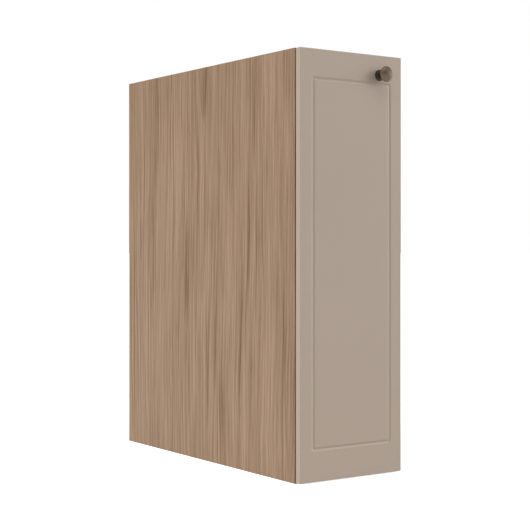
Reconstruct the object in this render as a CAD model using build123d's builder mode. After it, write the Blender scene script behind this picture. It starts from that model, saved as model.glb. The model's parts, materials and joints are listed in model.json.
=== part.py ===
"""Narrow kitchen base cabinet: side-hung door, two loose shelves, knock-down fittings.

Millimetres. +Z is up, the front faces -Y and the origin is the middle of the carcass's
footprint on the plane it stands on.
"""

import os

from build123d import *

os.makedirs("parts", exist_ok=True)

# ---- carcass sizes -------------------------------------------------------------------
cabinet_width = 200.0
carcass_depth = 520.0
cabinet_height = 660.0
board = 12.0  # thickness of every carcass board
edge_band = 0.8  # thickness of the strip glued on a board's front edge
back_thickness = 3.0
back_groove_depth = 5.0
back_clearance = 0.2  # how much wider the groove is than the back panel
back_end_gap = 0.5  # between the back panel's edge and the bottom of its groove
rail_height = 80.0

# ---- door sizes ----------------------------------------------------------------------
door_thickness = 12.0
door_gap = 1.5  # between the carcass front and the back of the door
side_reveal = 0.3  # how far the door stops short of the carcass at either side
top_reveal = 0.4
bottom_reveal = 1.5
door_front_round = 1.0
door_back_round = 1.5  # lets the hinge edge swing past the side panel
groove_inset_side = 24.4  # door edge to the middle of the groove
groove_inset_top = 45.5
groove_inset_bottom = 49.8
groove_width = 6.5
groove_depth = 1.2

# ---- knob ----------------------------------------------------------------------------
knob_from_edge = 45.0  # knob axis to the door's free edge
knob_from_top = 31.2
rose_radius = 8.75
rose_thickness = 4.5
rose_bevel = 1.4
neck_radius = 4.7
neck_length = 7.0
head_radius = 12.5
head_rim = 1.2  # thickness of the head's edge
head_back = 5.0  # height of the flare from the neck to the head's edge
head_dome = 6.4
dome_fullness = 0.6  # how square the dome's shoulder is
knob_screw_radius = 2.0
knob_screw_reach = 9.0  # how deep the screw goes into the neck
knob_screw_head_radius = 3.8
knob_screw_head = 2.2
screw_clearance = 0.25  # all round a screw that passes through a piece

# ---- shelves and their pins ----------------------------------------------------------
shelf_side_gap = 1.0
shelf_setback = 10.0  # shelf front behind the carcass front
shelf_back_gap = 2.0
system_pitch = 32.0
system_setback = 37.0  # line of holes behind the front edge
first_row_height = 126.0
last_row_from_top = 126.0
lower_shelf_share = 1 / 3  # the shelves split the height in three
upper_shelf_share = 2 / 3
pin_radius = 2.5
pin_in_board = 8.0
pin_out_of_board = 8.0
hole_extra_depth = 1.0
rear_line_inset = 60.0  # rear line of holes in front of the back panel

# ---- knock-down fittings -------------------------------------------------------------
cam_radius = 6.0
cam_height = 9.5
cam_setback = 24.0  # cam's middle from the board's end
cam_clearance = 0.1
cam_slot_half = 2.9
bolt_radius = 2.5
bolt_head_radius = 2.4
bolt_neck_radius = 1.5
bolt_neck_length = 3.0
bolt_in_side = 9.0
dowel_radius = 3.0
dowel_in_side = 9.0
dowel_in_end = 19.0
dowel_end_gap = 0.5
fitting_from_front = 60.0
fitting_from_rear = 90.0
dowel_from_fitting = 32.0

# ---- concealed single-pivot hinges ---------------------------------------------------
hinge_from_end = 82.0  # middle of a hinge from the end of the carcass
pivot_from_door_edge = 5.0
pivot_v = 8.0  # forwards from the carcass front
pivot_pin_radius = 0.8
pivot_clearance = 0.1
knuckle_radius = 1.6
knuckle_half = 3.0
cup_radius = 13.0
cup_wall = 0.7
cup_depth = 9.4
cup_edge_distance = 2.2
cup_fit = 0.1
flange_thickness = 0.6
ear_radius = 5.0
ear_spread = 19.0
ear_offset = 6.0
cup_screw_radius = 1.75
cup_screw_length = 9.0
cup_screw_head_radius = 3.2
cup_screw_head = 1.5
neck_left_u = 2.2
strip_thickness = 2.4
channel_top_u = 6.0
channel_wall = 1.4
channel_inner_half = 5.2
channel_front_v = -8.0
channel_rear_v = -60.0
plate_thickness = 1.6
wing_half = 21.0
wing_front_v = -30.0
wing_rear_v = -44.0
ridge_half = 5.0
ridge_front_v = -14.0
ridge_rear_v = -56.0
plate_screw_spread = 16.0
plate_screw_radius = 2.5
plate_screw_length = 9.0
plate_screw_head_radius = 4.0
plate_screw_head = 1.8
clamp_screw_v = -48.0
adjusting_screw_v = -22.0
arm_screw_radius = 2.0
clamp_head_radius = 3.5
clamp_head = 2.0
clamp_slot_length = 8.0
arm_screw_tip_u = 2.4
adjusting_tip_u = 4.6
adjusting_proud = 1.0

# ---- magnetic catch ------------------------------------------------------------------
catch_height_from_top = 84.0
catch_length = 44.0
catch_width = 13.0
catch_depth = 14.0
catch_setback = 1.0
magnet_length = 22.0
magnet_width = 5.0
magnet_depth = 9.0
pole_thickness = 1.2
pole_proud = 1.4  # pole plates in front of the housing
catch_screw_spread = 17.0
catch_screw_radius = 1.5
catch_screw_in_side = 8.0
catch_screw_head_radius = 2.8
catch_screw_head = 1.6
strike_length = 30.0
strike_width = 11.0
strike_thickness = 1.0
strike_screw_radius = 1.5
strike_screw_length = 9.0
strike_screw_head_radius = 2.5

# ---- small pieces --------------------------------------------------------------------
bumper_radius = 4.0
bumper_thickness = 1.2
bumper_inset = 5.0  # bumper's middle from the door's free edge
bumper_from_end = 20.0

# ---- holes that fasten the cabinet to its surroundings -------------------------------
worktop_hole_radius = 2.5
worktop_spacing_across = 100.0
worktop_spacing_deep = 380.0
wall_hole_radius = 3.0
wall_spacing = 120.0

# ---- planes and faces worked out from the sizes --------------------------------------
half_width = cabinet_width / 2
inner_half = half_width - board
front_y = -carcass_depth / 2
rear_y = carcass_depth / 2
board_front_y = front_y + edge_band
rail_front_y = rear_y - board
back_front_y = rail_front_y - back_thickness
door_back_y = front_y - door_gap
door_front_y = door_back_y - door_thickness
door_left_x = -half_width + side_reveal
door_right_x = half_width - side_reveal
door_bottom_z = bottom_reveal
door_top_z = cabinet_height - top_reveal
top_under_z = cabinet_height - board
front_line_y = front_y + system_setback
rear_line_y = back_front_y - rear_line_inset
hinge_heights = (hinge_from_end, cabinet_height - hinge_from_end)
door_edge_u = door_left_x + inner_half  # the door's hinge edge, inwards from the side's inner face
cup_centre_u = door_edge_u + cup_edge_distance + cup_radius
pivot_u = door_edge_u + pivot_from_door_edge
pivot_pin_half = (cup_radius**2 - (cup_centre_u - pivot_u + pivot_pin_radius) ** 2) ** 0.5
system_rows = int((cabinet_height - last_row_from_top - first_row_height) // system_pitch) + 1
lower_shelf_row = round((cabinet_height * lower_shelf_share - first_row_height) / system_pitch)
upper_shelf_row = round((cabinet_height * upper_shelf_share - first_row_height) / system_pitch)
knob_x = door_right_x - knob_from_edge
knob_z = door_top_z - knob_from_top
catch_z = cabinet_height - catch_height_from_top
catch_centre_x = inner_half - catch_width / 2
fitting_lines = (front_y + fitting_from_front, rear_y - fitting_from_rear)
dowel_lines = (fitting_lines[0] + dowel_from_fitting, fitting_lines[1] - dowel_from_fitting)
board_middles = (board / 2, cabinet_height - board / 2)
rail_dowel_heights = (top_under_z - rail_height * 0.25, top_under_z - rail_height * 0.75)


def hinge_plane(height):
    """Plane of one hinge: local x runs inwards from the side panel, local y forwards."""
    return Plane(origin=(-inner_half, front_y, height), x_dir=(1, 0, 0), z_dir=(0, 0, -1))


def finish(piece, name):
    """Label one finished piece and write its file."""
    piece.part.label = name
    export_step(piece.part, f"parts/{name}.step")


# ---- side panels: full height, drilled on the inner face only ------------------------
system_points = [
    (line_y, first_row_height + row * system_pitch)
    for line_y in (front_line_y, rear_line_y)
    for row in range(system_rows)
]
bolt_points = [(y, z) for y in fitting_lines for z in board_middles]
dowel_points = [(y, z) for y in dowel_lines for z in board_middles]
dowel_points += [(rear_y - board / 2, z) for z in rail_dowel_heights]
plate_screw_points = [
    (front_line_y, z + offset)
    for z in hinge_heights
    for offset in (-plate_screw_spread, plate_screw_spread)
]
catch_screw_y = front_y + catch_setback + catch_depth / 2
catch_screw_points = [
    (catch_screw_y, catch_z - catch_screw_spread),
    (catch_screw_y, catch_z + catch_screw_spread),
]


def side_panel(side, fitting_points, fitting_radius, fitting_depth):
    """One side board; side is -1 for the left and +1 for the right."""
    inner_face = Plane.YZ.offset(side * inner_half)
    drillings = (
        (system_points, pin_radius, pin_in_board + hole_extra_depth),
        (bolt_points, bolt_radius, bolt_in_side),
        (dowel_points, dowel_radius, dowel_in_side + dowel_end_gap),
        (fitting_points, fitting_radius, fitting_depth),
    )
    with BuildPart() as panel:
        with BuildSketch(inner_face):
            with Locations(((board_front_y + rear_y) / 2, cabinet_height / 2)):
                Rectangle(rear_y - board_front_y, cabinet_height)
        extrude(amount=side * board)
        for points, radius, depth in drillings:
            with BuildSketch(inner_face):
                with Locations(*points):
                    Circle(radius)
            extrude(amount=side * depth, mode=Mode.SUBTRACT)
        with BuildSketch(inner_face):
            with Locations((back_front_y + back_thickness / 2, cabinet_height / 2)):
                Rectangle(back_thickness + back_clearance, cabinet_height)
        extrude(amount=side * back_groove_depth, mode=Mode.SUBTRACT)
    return panel


left_side_panel = side_panel(-1, plate_screw_points, plate_screw_radius, plate_screw_length)
right_side_panel = side_panel(1, catch_screw_points, catch_screw_radius, catch_screw_in_side)
finish(left_side_panel, "left_side_panel")
finish(right_side_panel, "right_side_panel")

# ---- top and bottom panels: between the sides, cams in the hidden faces ---------------
board_end_x = (-1, 1)
cam_points = [(s * (inner_half - cam_setback), y) for s in board_end_x for y in fitting_lines]
bolt_bore_length = cam_setback


def level_panel(outer_z, inwards):
    """Top or bottom board; inwards is +1 when the cabinet's inside lies above its outer face."""
    middle_z = outer_z + inwards * board / 2
    outer_face = Plane.XY.offset(outer_z)
    with BuildPart() as panel:
        with BuildSketch(outer_face):
            with Locations((0, (board_front_y + rear_y) / 2)):
                Rectangle(2 * inner_half, rear_y - board_front_y)
        extrude(amount=inwards * board)
        with BuildSketch(outer_face):
            with Locations(*cam_points):
                Circle(cam_radius + cam_clearance)
        extrude(amount=inwards * cam_height, mode=Mode.SUBTRACT)
        for side in board_end_x:
            end_face = Plane.YZ.offset(side * inner_half)
            with BuildSketch(end_face):
                with Locations(*[(y, middle_z) for y in fitting_lines]):
                    Circle(bolt_radius + cam_clearance)
            extrude(amount=-side * bolt_bore_length, mode=Mode.SUBTRACT)
            with BuildSketch(end_face):
                with Locations(*[(y, middle_z) for y in dowel_lines]):
                    Circle(dowel_radius)
            extrude(amount=-side * (dowel_in_end + dowel_end_gap), mode=Mode.SUBTRACT)
        with BuildSketch(Plane.XY.offset(outer_z + inwards * board)):
            with Locations((0, back_front_y + back_thickness / 2)):
                Rectangle(2 * inner_half, back_thickness + back_clearance)
        extrude(amount=-inwards * back_groove_depth, mode=Mode.SUBTRACT)
    return panel


bottom_panel = level_panel(0, 1)
finish(bottom_panel, "bottom_panel")

# The top panel also carries the four holes for the worktop screws.
top_blank = level_panel(cabinet_height, -1)
with BuildPart() as top_panel:
    add(top_blank.part)
    with BuildSketch(Plane.XY.offset(cabinet_height)):
        with GridLocations(worktop_spacing_across, worktop_spacing_deep, 2, 2):
            Circle(worktop_hole_radius)
    extrude(amount=-board, mode=Mode.SUBTRACT)
finish(top_panel, "top_panel")

# ---- back panel: hardboard, held in grooves on all four sides ------------------------
back_reach = back_groove_depth - back_end_gap
with BuildPart() as back_panel:
    with BuildSketch(Plane.XZ.offset(-back_front_y)):
        with Locations((0, cabinet_height / 2)):
            Rectangle(
                2 * (inner_half + back_reach),
                cabinet_height - 2 * board + 2 * back_reach,
            )
    extrude(amount=-back_thickness)
finish(back_panel, "back_panel")

# ---- rear rail: behind the back panel, takes the two wall screws ---------------------
rail_middle_z = top_under_z - rail_height / 2
with BuildPart() as rear_rail:
    with BuildSketch(Plane.XZ.offset(-rail_front_y)):
        with Locations((0, rail_middle_z)):
            Rectangle(2 * inner_half, rail_height)
            with GridLocations(wall_spacing, 0, 2, 1):
                Circle(wall_hole_radius, mode=Mode.SUBTRACT)
    extrude(amount=-board)
    for side in board_end_x:
        with BuildSketch(Plane.YZ.offset(side * inner_half)):
            with Locations(*[(rear_y - board / 2, z) for z in rail_dowel_heights]):
                Circle(dowel_radius)
        extrude(amount=-side * (dowel_in_end + dowel_end_gap), mode=Mode.SUBTRACT)
finish(rear_rail, "rear_rail")

# ---- shelves: loose boards lying on their pins ---------------------------------------
shelf_half = inner_half - shelf_side_gap
shelf_front_y = front_y + shelf_setback
shelf_rear_y = back_front_y - shelf_back_gap
shelf_heights = {
    "lower_shelf": first_row_height + lower_shelf_row * system_pitch + pin_radius,
    "upper_shelf": first_row_height + upper_shelf_row * system_pitch + pin_radius,
}
for shelf_name, shelf_z in shelf_heights.items():
    with BuildPart() as shelf:
        with BuildSketch(Plane.XY.offset(shelf_z)):
            with Locations((0, (shelf_front_y + edge_band + shelf_rear_y) / 2)):
                Rectangle(2 * shelf_half, shelf_rear_y - shelf_front_y - edge_band)
        extrude(amount=board)
    finish(shelf, shelf_name)
    with BuildPart() as shelf_band:
        with BuildSketch(Plane.XY.offset(shelf_z)):
            with Locations((0, shelf_front_y + edge_band / 2)):
                Rectangle(2 * shelf_half, edge_band)
        extrude(amount=board)
    finish(shelf_band, f"{shelf_name}_edge_band")

with BuildPart() as shelf_pins:
    for side in board_end_x:
        with BuildSketch(Plane.YZ.offset(side * (inner_half + pin_in_board))):
            with Locations(
                *[(y, z - pin_radius) for y in (front_line_y, rear_line_y)
                  for z in shelf_heights.values()]
            ):
                Circle(pin_radius)
        extrude(amount=-side * (pin_in_board + pin_out_of_board))
finish(shelf_pins, "shelf_pins")

# ---- edge bands on the carcass front -------------------------------------------------
side_x = inner_half + board / 2
carcass_bands = {
    "left_edge_band": (-side_x, cabinet_height / 2, board, cabinet_height),
    "right_edge_band": (side_x, cabinet_height / 2, board, cabinet_height),
    "bottom_edge_band": (0, board_middles[0], 2 * inner_half, board),
    "top_edge_band": (0, board_middles[1], 2 * inner_half, board),
}
for band_name, (band_x, band_z, band_width, band_height) in carcass_bands.items():
    with BuildPart() as band:
        with BuildSketch(Plane.XZ.offset(-front_y)):
            with Locations((band_x, band_z)):
                Rectangle(band_width, band_height)
        extrude(amount=-edge_band)
    finish(band, band_name)

# ---- cam locks, cam bolts and dowels -------------------------------------------------
with BuildPart() as cam_locks:
    for outer_z, inwards in ((0, 1), (cabinet_height, -1)):
        with BuildSketch(Plane.XY.offset(outer_z)):
            with Locations(*cam_points):
                Circle(cam_radius)
        extrude(amount=inwards * cam_height)
    for side in board_end_x:
        for middle_z in board_middles:
            for line_y in fitting_lines:
                with Locations((side * (inner_half - cam_setback + cam_radius), line_y, middle_z)):
                    Box(
                        2 * cam_radius,
                        2 * cam_slot_half,
                        2 * cam_slot_half,
                        mode=Mode.SUBTRACT,
                    )
finish(cam_locks, "cam_locks")

bolt_tip_x = inner_half - cam_setback + cam_clearance
bolt_neck_end_x = bolt_tip_x + bolt_neck_length
bolt_sections = (
    (inner_half + bolt_in_side, bolt_neck_end_x + bolt_neck_length, bolt_radius),
    (bolt_neck_end_x + bolt_neck_length, bolt_neck_end_x, bolt_neck_radius),
    (bolt_neck_end_x, bolt_tip_x, bolt_head_radius),
)
with BuildPart() as cam_bolts:
    for side in board_end_x:
        for start_x, end_x, radius in bolt_sections:
            with BuildSketch(Plane.YZ.offset(side * start_x)):
                with Locations(*bolt_points):
                    Circle(radius)
            extrude(amount=side * (end_x - start_x))
finish(cam_bolts, "cam_bolts")

with BuildPart() as dowels:
    for side in board_end_x:
        with BuildSketch(Plane.YZ.offset(side * (inner_half + dowel_in_side))):
            with Locations(*dowel_points):
                Circle(dowel_radius)
        extrude(amount=-side * (dowel_in_side + dowel_in_end))
finish(dowels, "dowels")

# ---- door panel: grooved front, bored back -------------------------------------------
door_width = door_right_x - door_left_x
door_height = door_top_z - door_bottom_z
door_middle_z = (door_top_z + door_bottom_z) / 2
groove_left_x = door_left_x + groove_inset_side
groove_right_x = door_right_x - groove_inset_side
groove_bottom_z = door_bottom_z + groove_inset_bottom
groove_top_z = door_top_z - groove_inset_top
groove_middle = ((groove_left_x + groove_right_x) / 2, (groove_bottom_z + groove_top_z) / 2)
front_face = Plane.XZ.offset(-door_front_y)
back_face = Plane.XZ.offset(-door_back_y)
ear_x = -inner_half + cup_centre_u + ear_offset
ear_points = [(ear_x, z + s * ear_spread) for z in hinge_heights for s in (-1, 1)]
cup_points = [(-inner_half + cup_centre_u, z) for z in hinge_heights]
pocket_depth = cup_depth + cup_fit
with BuildPart() as door_panel:
    with BuildSketch(front_face):
        with Locations((0, door_middle_z)):
            Rectangle(door_width, door_height)
    extrude(amount=-door_thickness)
    fillet(door_panel.faces().sort_by(Axis.Y)[0].edges(), radius=door_front_round)
    fillet(door_panel.faces().sort_by(Axis.Y)[-1].edges(), radius=door_back_round)
    # the groove is the path of a pointed cutter: four straight runs and a turn at each corner
    for run_x in (groove_left_x, groove_right_x):
        with BuildSketch(Plane.XY.offset(groove_bottom_z)):
            with BuildLine():
                Polyline(
                    (run_x - groove_width / 2, door_front_y),
                    (run_x, door_front_y + groove_depth),
                    (run_x + groove_width / 2, door_front_y),
                    close=True,
                )
            make_face()
        extrude(amount=groove_top_z - groove_bottom_z, mode=Mode.SUBTRACT)
    for run_z in (groove_bottom_z, groove_top_z):
        with BuildSketch(Plane.YZ.offset(groove_left_x)):
            with BuildLine():
                Polyline(
                    (door_front_y, run_z - groove_width / 2),
                    (door_front_y + groove_depth, run_z),
                    (door_front_y, run_z + groove_width / 2),
                    close=True,
                )
            make_face()
        extrude(amount=groove_right_x - groove_left_x, mode=Mode.SUBTRACT)
    with Locations(Plane.XZ.offset(-door_front_y)):
        with Locations((groove_middle[0], groove_middle[1], -groove_depth / 2)):
            with GridLocations(
                groove_right_x - groove_left_x, groove_top_z - groove_bottom_z, 2, 2
            ):
                Cone(0, groove_width / 2, groove_depth, mode=Mode.SUBTRACT)
    with BuildSketch(back_face):
        with Locations(*cup_points):
            Circle(cup_radius + cup_fit)
    extrude(amount=pocket_depth, mode=Mode.SUBTRACT)
    with BuildSketch(back_face):
        with Locations(*ear_points):
            Circle(cup_screw_radius)
    extrude(amount=cup_screw_length, mode=Mode.SUBTRACT)
    with BuildSketch(back_face):
        with Locations((catch_centre_x, catch_z)):
            Circle(strike_screw_radius)
    extrude(amount=strike_screw_length, mode=Mode.SUBTRACT)
    with BuildSketch(back_face):
        with Locations((knob_x, knob_z)):
            Circle(knob_screw_radius + screw_clearance)
    extrude(amount=door_thickness, mode=Mode.SUBTRACT)
finish(door_panel, "door_panel")

# ---- knob: rose, turned knob and the screw that draws them on the door ---------------
knob_plane = Plane(origin=(knob_x, door_front_y, knob_z), x_dir=(1, 0, 0), z_dir=(0, 0, -1))
knob_axis = Axis((knob_x, door_front_y, knob_z), (0, -1, 0))
rose_bore = knob_screw_radius + screw_clearance
with BuildPart() as knob_rose:
    with BuildSketch(knob_plane):
        with BuildLine():
            Polyline(
                (rose_bore, 0),
                (rose_radius, 0),
                (rose_radius, rose_thickness - rose_bevel),
                (rose_radius - rose_bevel, rose_thickness),
                (rose_bore, rose_thickness),
                close=True,
            )
        make_face()
    revolve(axis=knob_axis)
finish(knob_rose, "knob_rose")

neck_end = rose_thickness + neck_length
rim_back = neck_end + head_back
rim_front = rim_back + head_rim
with BuildPart() as knob:
    with BuildSketch(knob_plane):
        with BuildLine():
            Polyline((0, rose_thickness), (neck_radius, rose_thickness), (neck_radius, neck_end))
            Bezier((neck_radius, neck_end), (neck_radius, rim_back), (head_radius, rim_back))
            Line((head_radius, rim_back), (head_radius, rim_front))
            Bezier(
                (head_radius, rim_front),
                (head_radius, rim_front + head_dome * dome_fullness),
                (head_radius * dome_fullness, rim_front + head_dome),
                (0, rim_front + head_dome),
            )
            Line((0, rim_front + head_dome), (0, rose_thickness))
        make_face()
    revolve(axis=knob_axis)
    with BuildSketch(Plane.XZ.offset(-(door_front_y - rose_thickness))):
        with Locations((knob_x, knob_z)):
            Circle(knob_screw_radius)
    extrude(amount=knob_screw_reach, mode=Mode.SUBTRACT)
finish(knob, "knob")

with BuildPart() as knob_screw:
    with BuildSketch(back_face):
        with Locations((knob_x, knob_z)):
            Circle(knob_screw_radius)
    extrude(amount=door_thickness + rose_thickness + knob_screw_reach)
    with BuildSketch(back_face):
        with Locations((knob_x, knob_z)):
            Circle(knob_screw_head_radius)
    extrude(amount=-knob_screw_head)
finish(knob_screw, "knob_screw")

# ---- hinges: cup and pin on the door, arm and mounting plate on the side panel -------
neck_right_u = neck_left_u + strip_thickness
strip_top_v = pivot_v + knuckle_radius
channel_outer_half = channel_inner_half + channel_wall
channel_outer_u = channel_top_u + channel_wall
cup_back_v = door_gap
for hinge_name, hinge_z in zip(("lower", "upper"), hinge_heights):
    plane = hinge_plane(hinge_z)
    cup_x = -inner_half + cup_centre_u

    # The cup is a pressed pot with two ears; its walls hold the ends of the pin.
    with BuildPart() as hinge_cup:
        with BuildSketch(back_face):
            with Locations((cup_x, hinge_z)):
                Circle(cup_radius)
        extrude(amount=cup_depth)
        with BuildSketch(back_face):
            with Locations((cup_x, hinge_z)):
                Circle(cup_radius)
                Rectangle(2 * ear_radius, 2 * ear_spread, align=(Align.CENTER, Align.CENTER))
            with Locations(*[(ear_x, hinge_z + s * ear_spread) for s in (-1, 1)]):
                Circle(ear_radius)
            with Locations((ear_x, hinge_z)):
                Rectangle(2 * ear_radius, 2 * ear_spread)
        extrude(amount=-flange_thickness)
        with BuildSketch(Plane.XZ.offset(-(door_back_y + flange_thickness))):
            with Locations((cup_x, hinge_z)):
                Circle(cup_radius - cup_wall)
        extrude(amount=flange_thickness + cup_depth - cup_wall, mode=Mode.SUBTRACT)
        with BuildSketch(back_face):
            with Locations(*[(ear_x, hinge_z + s * ear_spread) for s in (-1, 1)]):
                Circle(cup_screw_radius + screw_clearance)
        extrude(amount=-flange_thickness, mode=Mode.SUBTRACT)
        with BuildSketch(plane):
            with Locations((pivot_u, pivot_v)):
                Circle(pivot_pin_radius)
        extrude(amount=pivot_pin_half, both=True, mode=Mode.SUBTRACT)
    finish(hinge_cup, f"{hinge_name}_hinge_cup")

    with BuildPart() as hinge_pin:
        with BuildSketch(plane):
            with Locations((pivot_u, pivot_v)):
                Circle(pivot_pin_radius)
        extrude(amount=pivot_pin_half, both=True)
    finish(hinge_pin, f"{hinge_name}_hinge_pin")

    # The arm's neck reaches out into the cup, then hooks over the side panel's edge.
    with BuildPart() as hinge_arm:
        with BuildSketch(plane):
            with Locations((pivot_u, pivot_v)):
                Circle(knuckle_radius)
            with BuildLine():
                Polyline(
                    (pivot_u, strip_top_v - strip_thickness),
                    (neck_left_u, strip_top_v - strip_thickness),
                    (neck_left_u, channel_front_v),
                    (neck_right_u, channel_front_v),
                    (neck_right_u, strip_top_v),
                    (pivot_u, strip_top_v),
                    close=True,
                )
            make_face()
            with Locations((pivot_u, pivot_v)):
                Circle(pivot_pin_radius + pivot_clearance, mode=Mode.SUBTRACT)
        extrude(amount=knuckle_half, both=True)
        with BuildSketch(plane):
            with Locations(((neck_left_u + channel_outer_u) / 2, channel_front_v)):
                Rectangle(
                    channel_outer_u - neck_left_u,
                    strip_thickness,
                    align=(Align.CENTER, Align.MAX),
                )
        extrude(amount=channel_outer_half, both=True)
        with BuildSketch(plane):
            with Locations(((neck_left_u + channel_outer_u) / 2, channel_front_v)):
                Rectangle(
                    channel_outer_u - neck_left_u,
                    channel_front_v - channel_rear_v,
                    align=(Align.CENTER, Align.MAX),
                )
        extrude(amount=channel_outer_half, both=True)
        with BuildSketch(plane):
            with Locations((neck_left_u, channel_front_v - strip_thickness)):
                Rectangle(
                    channel_top_u - neck_left_u,
                    channel_front_v - strip_thickness - channel_rear_v,
                    align=(Align.MIN, Align.MAX),
                )
        extrude(amount=channel_inner_half, both=True, mode=Mode.SUBTRACT)
        with BuildSketch(Plane.YZ.offset(-inner_half + channel_outer_u)):
            with Locations((front_y - clamp_screw_v, hinge_z)):
                SlotOverall(clamp_slot_length, 2 * (arm_screw_radius + screw_clearance))
            with Locations((front_y - adjusting_screw_v, hinge_z)):
                Circle(arm_screw_radius)
        extrude(amount=-channel_wall, mode=Mode.SUBTRACT)
    finish(hinge_arm, f"{hinge_name}_hinge_arm")

    # The mounting plate is a wing screwed on the side panel, with a ridge for the arm.
    with BuildPart() as mounting_plate:
        with BuildSketch(Plane.YZ.offset(-inner_half)):
            with Locations((front_y - (wing_front_v + wing_rear_v) / 2, hinge_z)):
                RectangleRounded(wing_front_v - wing_rear_v, 2 * wing_half, plate_screw_head_radius)
            with Locations((front_y - (ridge_front_v + ridge_rear_v) / 2, hinge_z)):
                Rectangle(ridge_front_v - ridge_rear_v, 2 * ridge_half)
        extrude(amount=plate_thickness)
        with BuildSketch(Plane.YZ.offset(-inner_half)):
            with Locations((front_y - (ridge_front_v + ridge_rear_v) / 2, hinge_z)):
                Rectangle(ridge_front_v - ridge_rear_v, 2 * ridge_half)
        extrude(amount=channel_top_u)
        with BuildSketch(Plane.YZ.offset(-inner_half)):
            for s in (-1, 1):
                with Locations((front_line_y, hinge_z + s * plate_screw_spread)):
                    Circle(plate_screw_radius)
        extrude(amount=plate_thickness, mode=Mode.SUBTRACT)
        with BuildSketch(Plane.YZ.offset(-inner_half + channel_top_u)):
            with Locations((front_y - clamp_screw_v, hinge_z)):
                Circle(arm_screw_radius)
        extrude(amount=arm_screw_tip_u - channel_top_u, mode=Mode.SUBTRACT)
        with BuildSketch(Plane.YZ.offset(-inner_half + channel_top_u)):
            with Locations((front_y - adjusting_screw_v, hinge_z)):
                Circle(arm_screw_radius)
        extrude(amount=adjusting_tip_u - channel_top_u, mode=Mode.SUBTRACT)
    finish(mounting_plate, f"{hinge_name}_mounting_plate")

# ---- hinge screws: one node for each kind --------------------------------------------
with BuildPart() as cup_screws:
    with BuildSketch(Plane.XZ.offset(-(door_back_y + flange_thickness))):
        with Locations(*ear_points):
            Circle(cup_screw_radius)
    extrude(amount=flange_thickness + cup_screw_length)
    with BuildSketch(Plane.XZ.offset(-(door_back_y + flange_thickness))):
        with Locations(*ear_points):
            Circle(cup_screw_head_radius)
    extrude(amount=-cup_screw_head)
finish(cup_screws, "hinge_cup_screws")

with BuildPart() as plate_screws:
    with BuildSketch(Plane.YZ.offset(-inner_half + plate_thickness)):
        with Locations(*plate_screw_points):
            Circle(plate_screw_radius)
    extrude(amount=-plate_thickness - plate_screw_length)
    with BuildSketch(Plane.YZ.offset(-inner_half + plate_thickness)):
        with Locations(*plate_screw_points):
            Circle(plate_screw_head_radius)
    extrude(amount=plate_screw_head)
finish(plate_screws, "mounting_plate_screws")

with BuildPart() as clamp_screws:
    with BuildSketch(Plane.YZ.offset(-inner_half + arm_screw_tip_u)):
        with Locations(*[(front_y - clamp_screw_v, z) for z in hinge_heights]):
            Circle(arm_screw_radius)
    extrude(amount=channel_outer_u - arm_screw_tip_u)
    with BuildSketch(Plane.YZ.offset(-inner_half + channel_outer_u)):
        with Locations(*[(front_y - clamp_screw_v, z) for z in hinge_heights]):
            Circle(clamp_head_radius)
    extrude(amount=clamp_head)
finish(clamp_screws, "hinge_clamp_screws")

with BuildPart() as adjusting_screws:
    with BuildSketch(Plane.YZ.offset(-inner_half + adjusting_tip_u)):
        with Locations(*[(front_y - adjusting_screw_v, z) for z in hinge_heights]):
            Circle(arm_screw_radius)
    extrude(amount=channel_outer_u + adjusting_proud - adjusting_tip_u)
finish(adjusting_screws, "hinge_adjusting_screws")

# ---- magnetic catch: housing on the right side panel, strike plate on the door --------
catch_front_y = front_y + catch_setback
pocket_width = magnet_width + 2 * pole_thickness
pocket_length = magnet_length
with BuildPart() as catch_housing:
    with BuildSketch(Plane.XZ.offset(-catch_front_y)):
        with Locations((catch_centre_x, catch_z)):
            RectangleRounded(catch_width, catch_length, catch_screw_radius)
    extrude(amount=-catch_depth)
    with BuildSketch(Plane.XZ.offset(-catch_front_y)):
        with Locations((catch_centre_x, catch_z)):
            Rectangle(pocket_width, pocket_length)
    extrude(amount=-magnet_depth, mode=Mode.SUBTRACT)
    with BuildSketch(Plane.YZ.offset(inner_half)):
        with Locations(*catch_screw_points):
            Circle(catch_screw_radius + screw_clearance)
    extrude(amount=-catch_width, mode=Mode.SUBTRACT)
finish(catch_housing, "catch_housing")

with BuildPart() as catch_magnet:
    with BuildSketch(Plane.XZ.offset(-catch_front_y)):
        with Locations((catch_centre_x, catch_z)):
            Rectangle(magnet_width, magnet_length)
    extrude(amount=-magnet_depth)
finish(catch_magnet, "catch_magnet")

with BuildPart() as catch_pole_plates:
    with BuildSketch(Plane.XZ.offset(-(catch_front_y + magnet_depth))):
        with Locations((catch_centre_x, catch_z)):
            with GridLocations(magnet_width + pole_thickness, 0, 2, 1):
                Rectangle(pole_thickness, magnet_length)
    extrude(amount=magnet_depth + pole_proud)
finish(catch_pole_plates, "catch_pole_plates")

with BuildPart() as catch_screws:
    with BuildSketch(Plane.YZ.offset(inner_half + catch_screw_in_side)):
        with Locations(*catch_screw_points):
            Circle(catch_screw_radius)
    extrude(amount=-(catch_screw_in_side + catch_width))
    with BuildSketch(Plane.YZ.offset(inner_half - catch_width)):
        with Locations(*catch_screw_points):
            Circle(catch_screw_head_radius)
    extrude(amount=-catch_screw_head)
finish(catch_screws, "catch_screws")

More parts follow.
